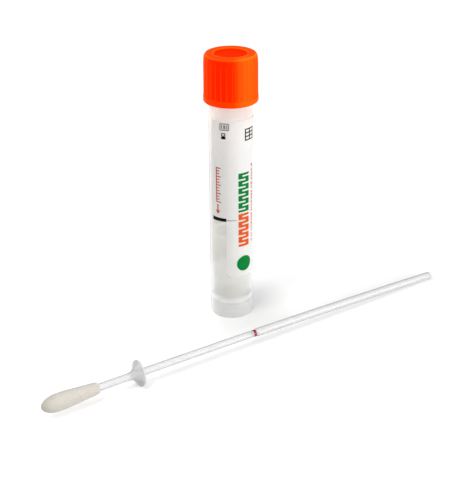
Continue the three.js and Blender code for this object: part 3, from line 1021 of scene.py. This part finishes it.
def white_plastic():
    finish = Finish("white_polypropylene")
    cloud = finish.noise(100)
    # The edges are painted grey, a painted shade where the stick turns from the eye, and are less
    # clear.
    edge = finish.ramp(finish.edge(), 0.12, 0.6)
    tint = finish.mix(cloud, colour("f0f0f0"), colour("f6f6f6"))
    return finish.surface(
        {
            "Base Color": finish.mix(edge, tint, colour("d4d4d4")),
            "Roughness": 0.24 + 0.08 * cloud,
            "Alpha": 0.45 + 0.4 * edge,
        }
    )


flare = []
for step in range(1, flare_steps):
    share = step / flare_steps
    radius = tip_radius + (stopper_radius - tip_radius) * share
    flare.append((radius, stopper_foot + (stopper_rim - stopper_foot) * math.sqrt(share), 0))
flare_back = [(radius, along + stopper_wall, 0) for radius, along, _ in reversed(flare)]
groove_start = break_distance - groove_half
groove_end = break_distance + groove_half
stick_mesh = turned(
    [
        (0, core_start, 0),
        (core_radius, core_start, 0.3),
        (core_radius, core_end, 0),
        (tip_radius, core_end + 0.3, 0.1),
        (tip_radius, stopper_foot, 0.6),
        *flare,
        (stopper_radius, stopper_rim - 0.05, 0.1),
        (stopper_radius, rim_edge, 0.1),
        (stopper_radius - 0.2, stopper_rim + stopper_wall, 0.1),
        *flare_back,
        (tip_radius, stopper_foot + 1.6, 0.3),
        (tip_radius, groove_start - break_depth, 0.1),
        (groove_radius, groove_start, 0.1),
        (groove_radius, groove_end, 0.1),
        (tail_radius, groove_end + tail_radius - groove_radius, 0.1),
        (tail_radius, swab_length - tail_trim, 1.4),
        (0, swab_length - tail_trim, 0),
    ],
    96,
    closed=False,
)
# Rings of points along the stick let it bow.
for step in range(math.ceil(core_end / bow_step), math.ceil(swab_length / bow_step)):
    cut(stick_mesh, (0, 0, step * bow_step * mm), (0, 0, 1))
lay_down(stick_mesh)
piece("swab_stick", stick_mesh, white_plastic(), "tube", "swab_shaft")


# ------------------------------------------------------------------ the flocked bud
# Short nylon fibres stood on end in a coat of adhesive round the end of the stick, so the
# bud is cream, matt and faintly rough.

flock_length = 20.1
flock_nose = 5.5
flock_radius = 3.02
fibre_length = 0.16
fringe = fibre_length + 0.05
nose_steps = 28
ring_gap = 0.3
straight_rings = 11
taper_start = 8
taper_rings = 37
taper_length = 11.3
taper_depth = 0.85
bud_bore = core_radius + 0.06
bud_floor = core_start - 0.1
bare_radius = 1.7
bare_start = 1.8
fibre_lean = 0.05


def flock():
    finish = Finish("nylon_flock")
    clump = finish.noise(420, 4)
    tint = finish.mix(clump, colour("cec8bc"), colour("e0dad1"))
    tint = finish.mix(0.5 * finish.noise(120, 2), tint, colour("dbcfbc"))
    # The outline is painted grey, a painted shade where the bud turns from the eye.
    tint = finish.mix(finish.edge(), tint, colour("c6c8c8"))
    return finish.surface(
        {
            "Base Color": tint,
            "Roughness": 0.85 + 0.1 * clump,
            "Normal": finish.bump(clump, 0.05 * mm),
            "Sheen Weight": 0.35,
            "Sheen Roughness": 0.4,
            # The bud glows faintly with painted light.
            "Emission Color": tint,
            "Emission Strength": 0.13,
        }
    )


skin = flock_radius - fringe
bud = []
for step in range(nose_steps):
    turn = math.pi / 2 * step / nose_steps
    along = fringe + (flock_nose - fringe) * (1 - math.cos(turn))
    bud.append((skin * math.sin(turn), along, 0))
bud += [(skin, flock_nose + ring_gap * step, 0) for step in range(straight_rings)]
for step in range(1, taper_rings + 1):
    along = taper_start + ring_gap * step
    bud.append((skin - taper_depth * (along - taper_start) / taper_length, along, 0))
bud += [
    (1.6, flock_length - 0.1, 0),
    (bud_bore, flock_length - 0.3, 0),
    (bud_bore, bud_floor, 0),
    (0, bud_floor, 0),
]
bud_mesh = turned(bud, 60, closed=False)

# Each face of the outside is raised to a leaning tuft. The tufts are taken in the order of
# their places, so that every run draws them alike.
coat = []
for face in bud_mesh.faces:
    middle = face.calc_center_median() / mm
    if middle.xy.length > bare_radius or middle.z < bare_start:
        coat.append(face)
random.seed(11)
tufts = bmesh.ops.poke(bud_mesh, faces=coat, offset=0)
for tip in sorted(tufts["verts"], key=lambda tip: tip.co.to_tuple(6)):
    tip.normal_update()
    lean = Vector([random.uniform(-1, 1) for _ in range(3)]) * fibre_lean * mm
    tip.co += tip.normal * random.uniform(0.3, 0.95) * fibre_length * mm + lean
lay_down(bud_mesh)
piece("flocked_bud", bud_mesh, flock(), "tube", "flocked_tip", sharp=60)


# ------------------------------------------------------------------ the breakpoint mark
# A thin ring of crimson ink, printed in the stick's groove after moulding. It shows where
# the stick snaps once the bud is in the tube.

mark_inner = groove_radius + 0.03
mark_outer = mark_inner + 0.14
mark_start = break_distance - 0.3
mark_end = break_distance + 0.65


def crimson_paint():
    finish = Finish("crimson_paint")
    patchy = finish.noise(500, 3)
    tint = finish.mix(patchy, colour("8c0c28"), colour("a81c36"))
    return finish.surface({"Base Color": tint, "Roughness": 0.36 + 0.12 * patchy})


mark_mesh = turned(
    [
        (mark_inner, mark_start, 0),
        (mark_outer, mark_start, 0.04),
        (mark_outer, mark_end, 0.04),
        (mark_inner, mark_end, 0),
    ],
    96,
)
lay_down(mark_mesh)
piece("breakpoint_ring", mark_mesh, crimson_paint(), "tube", "breakpoint_mark")
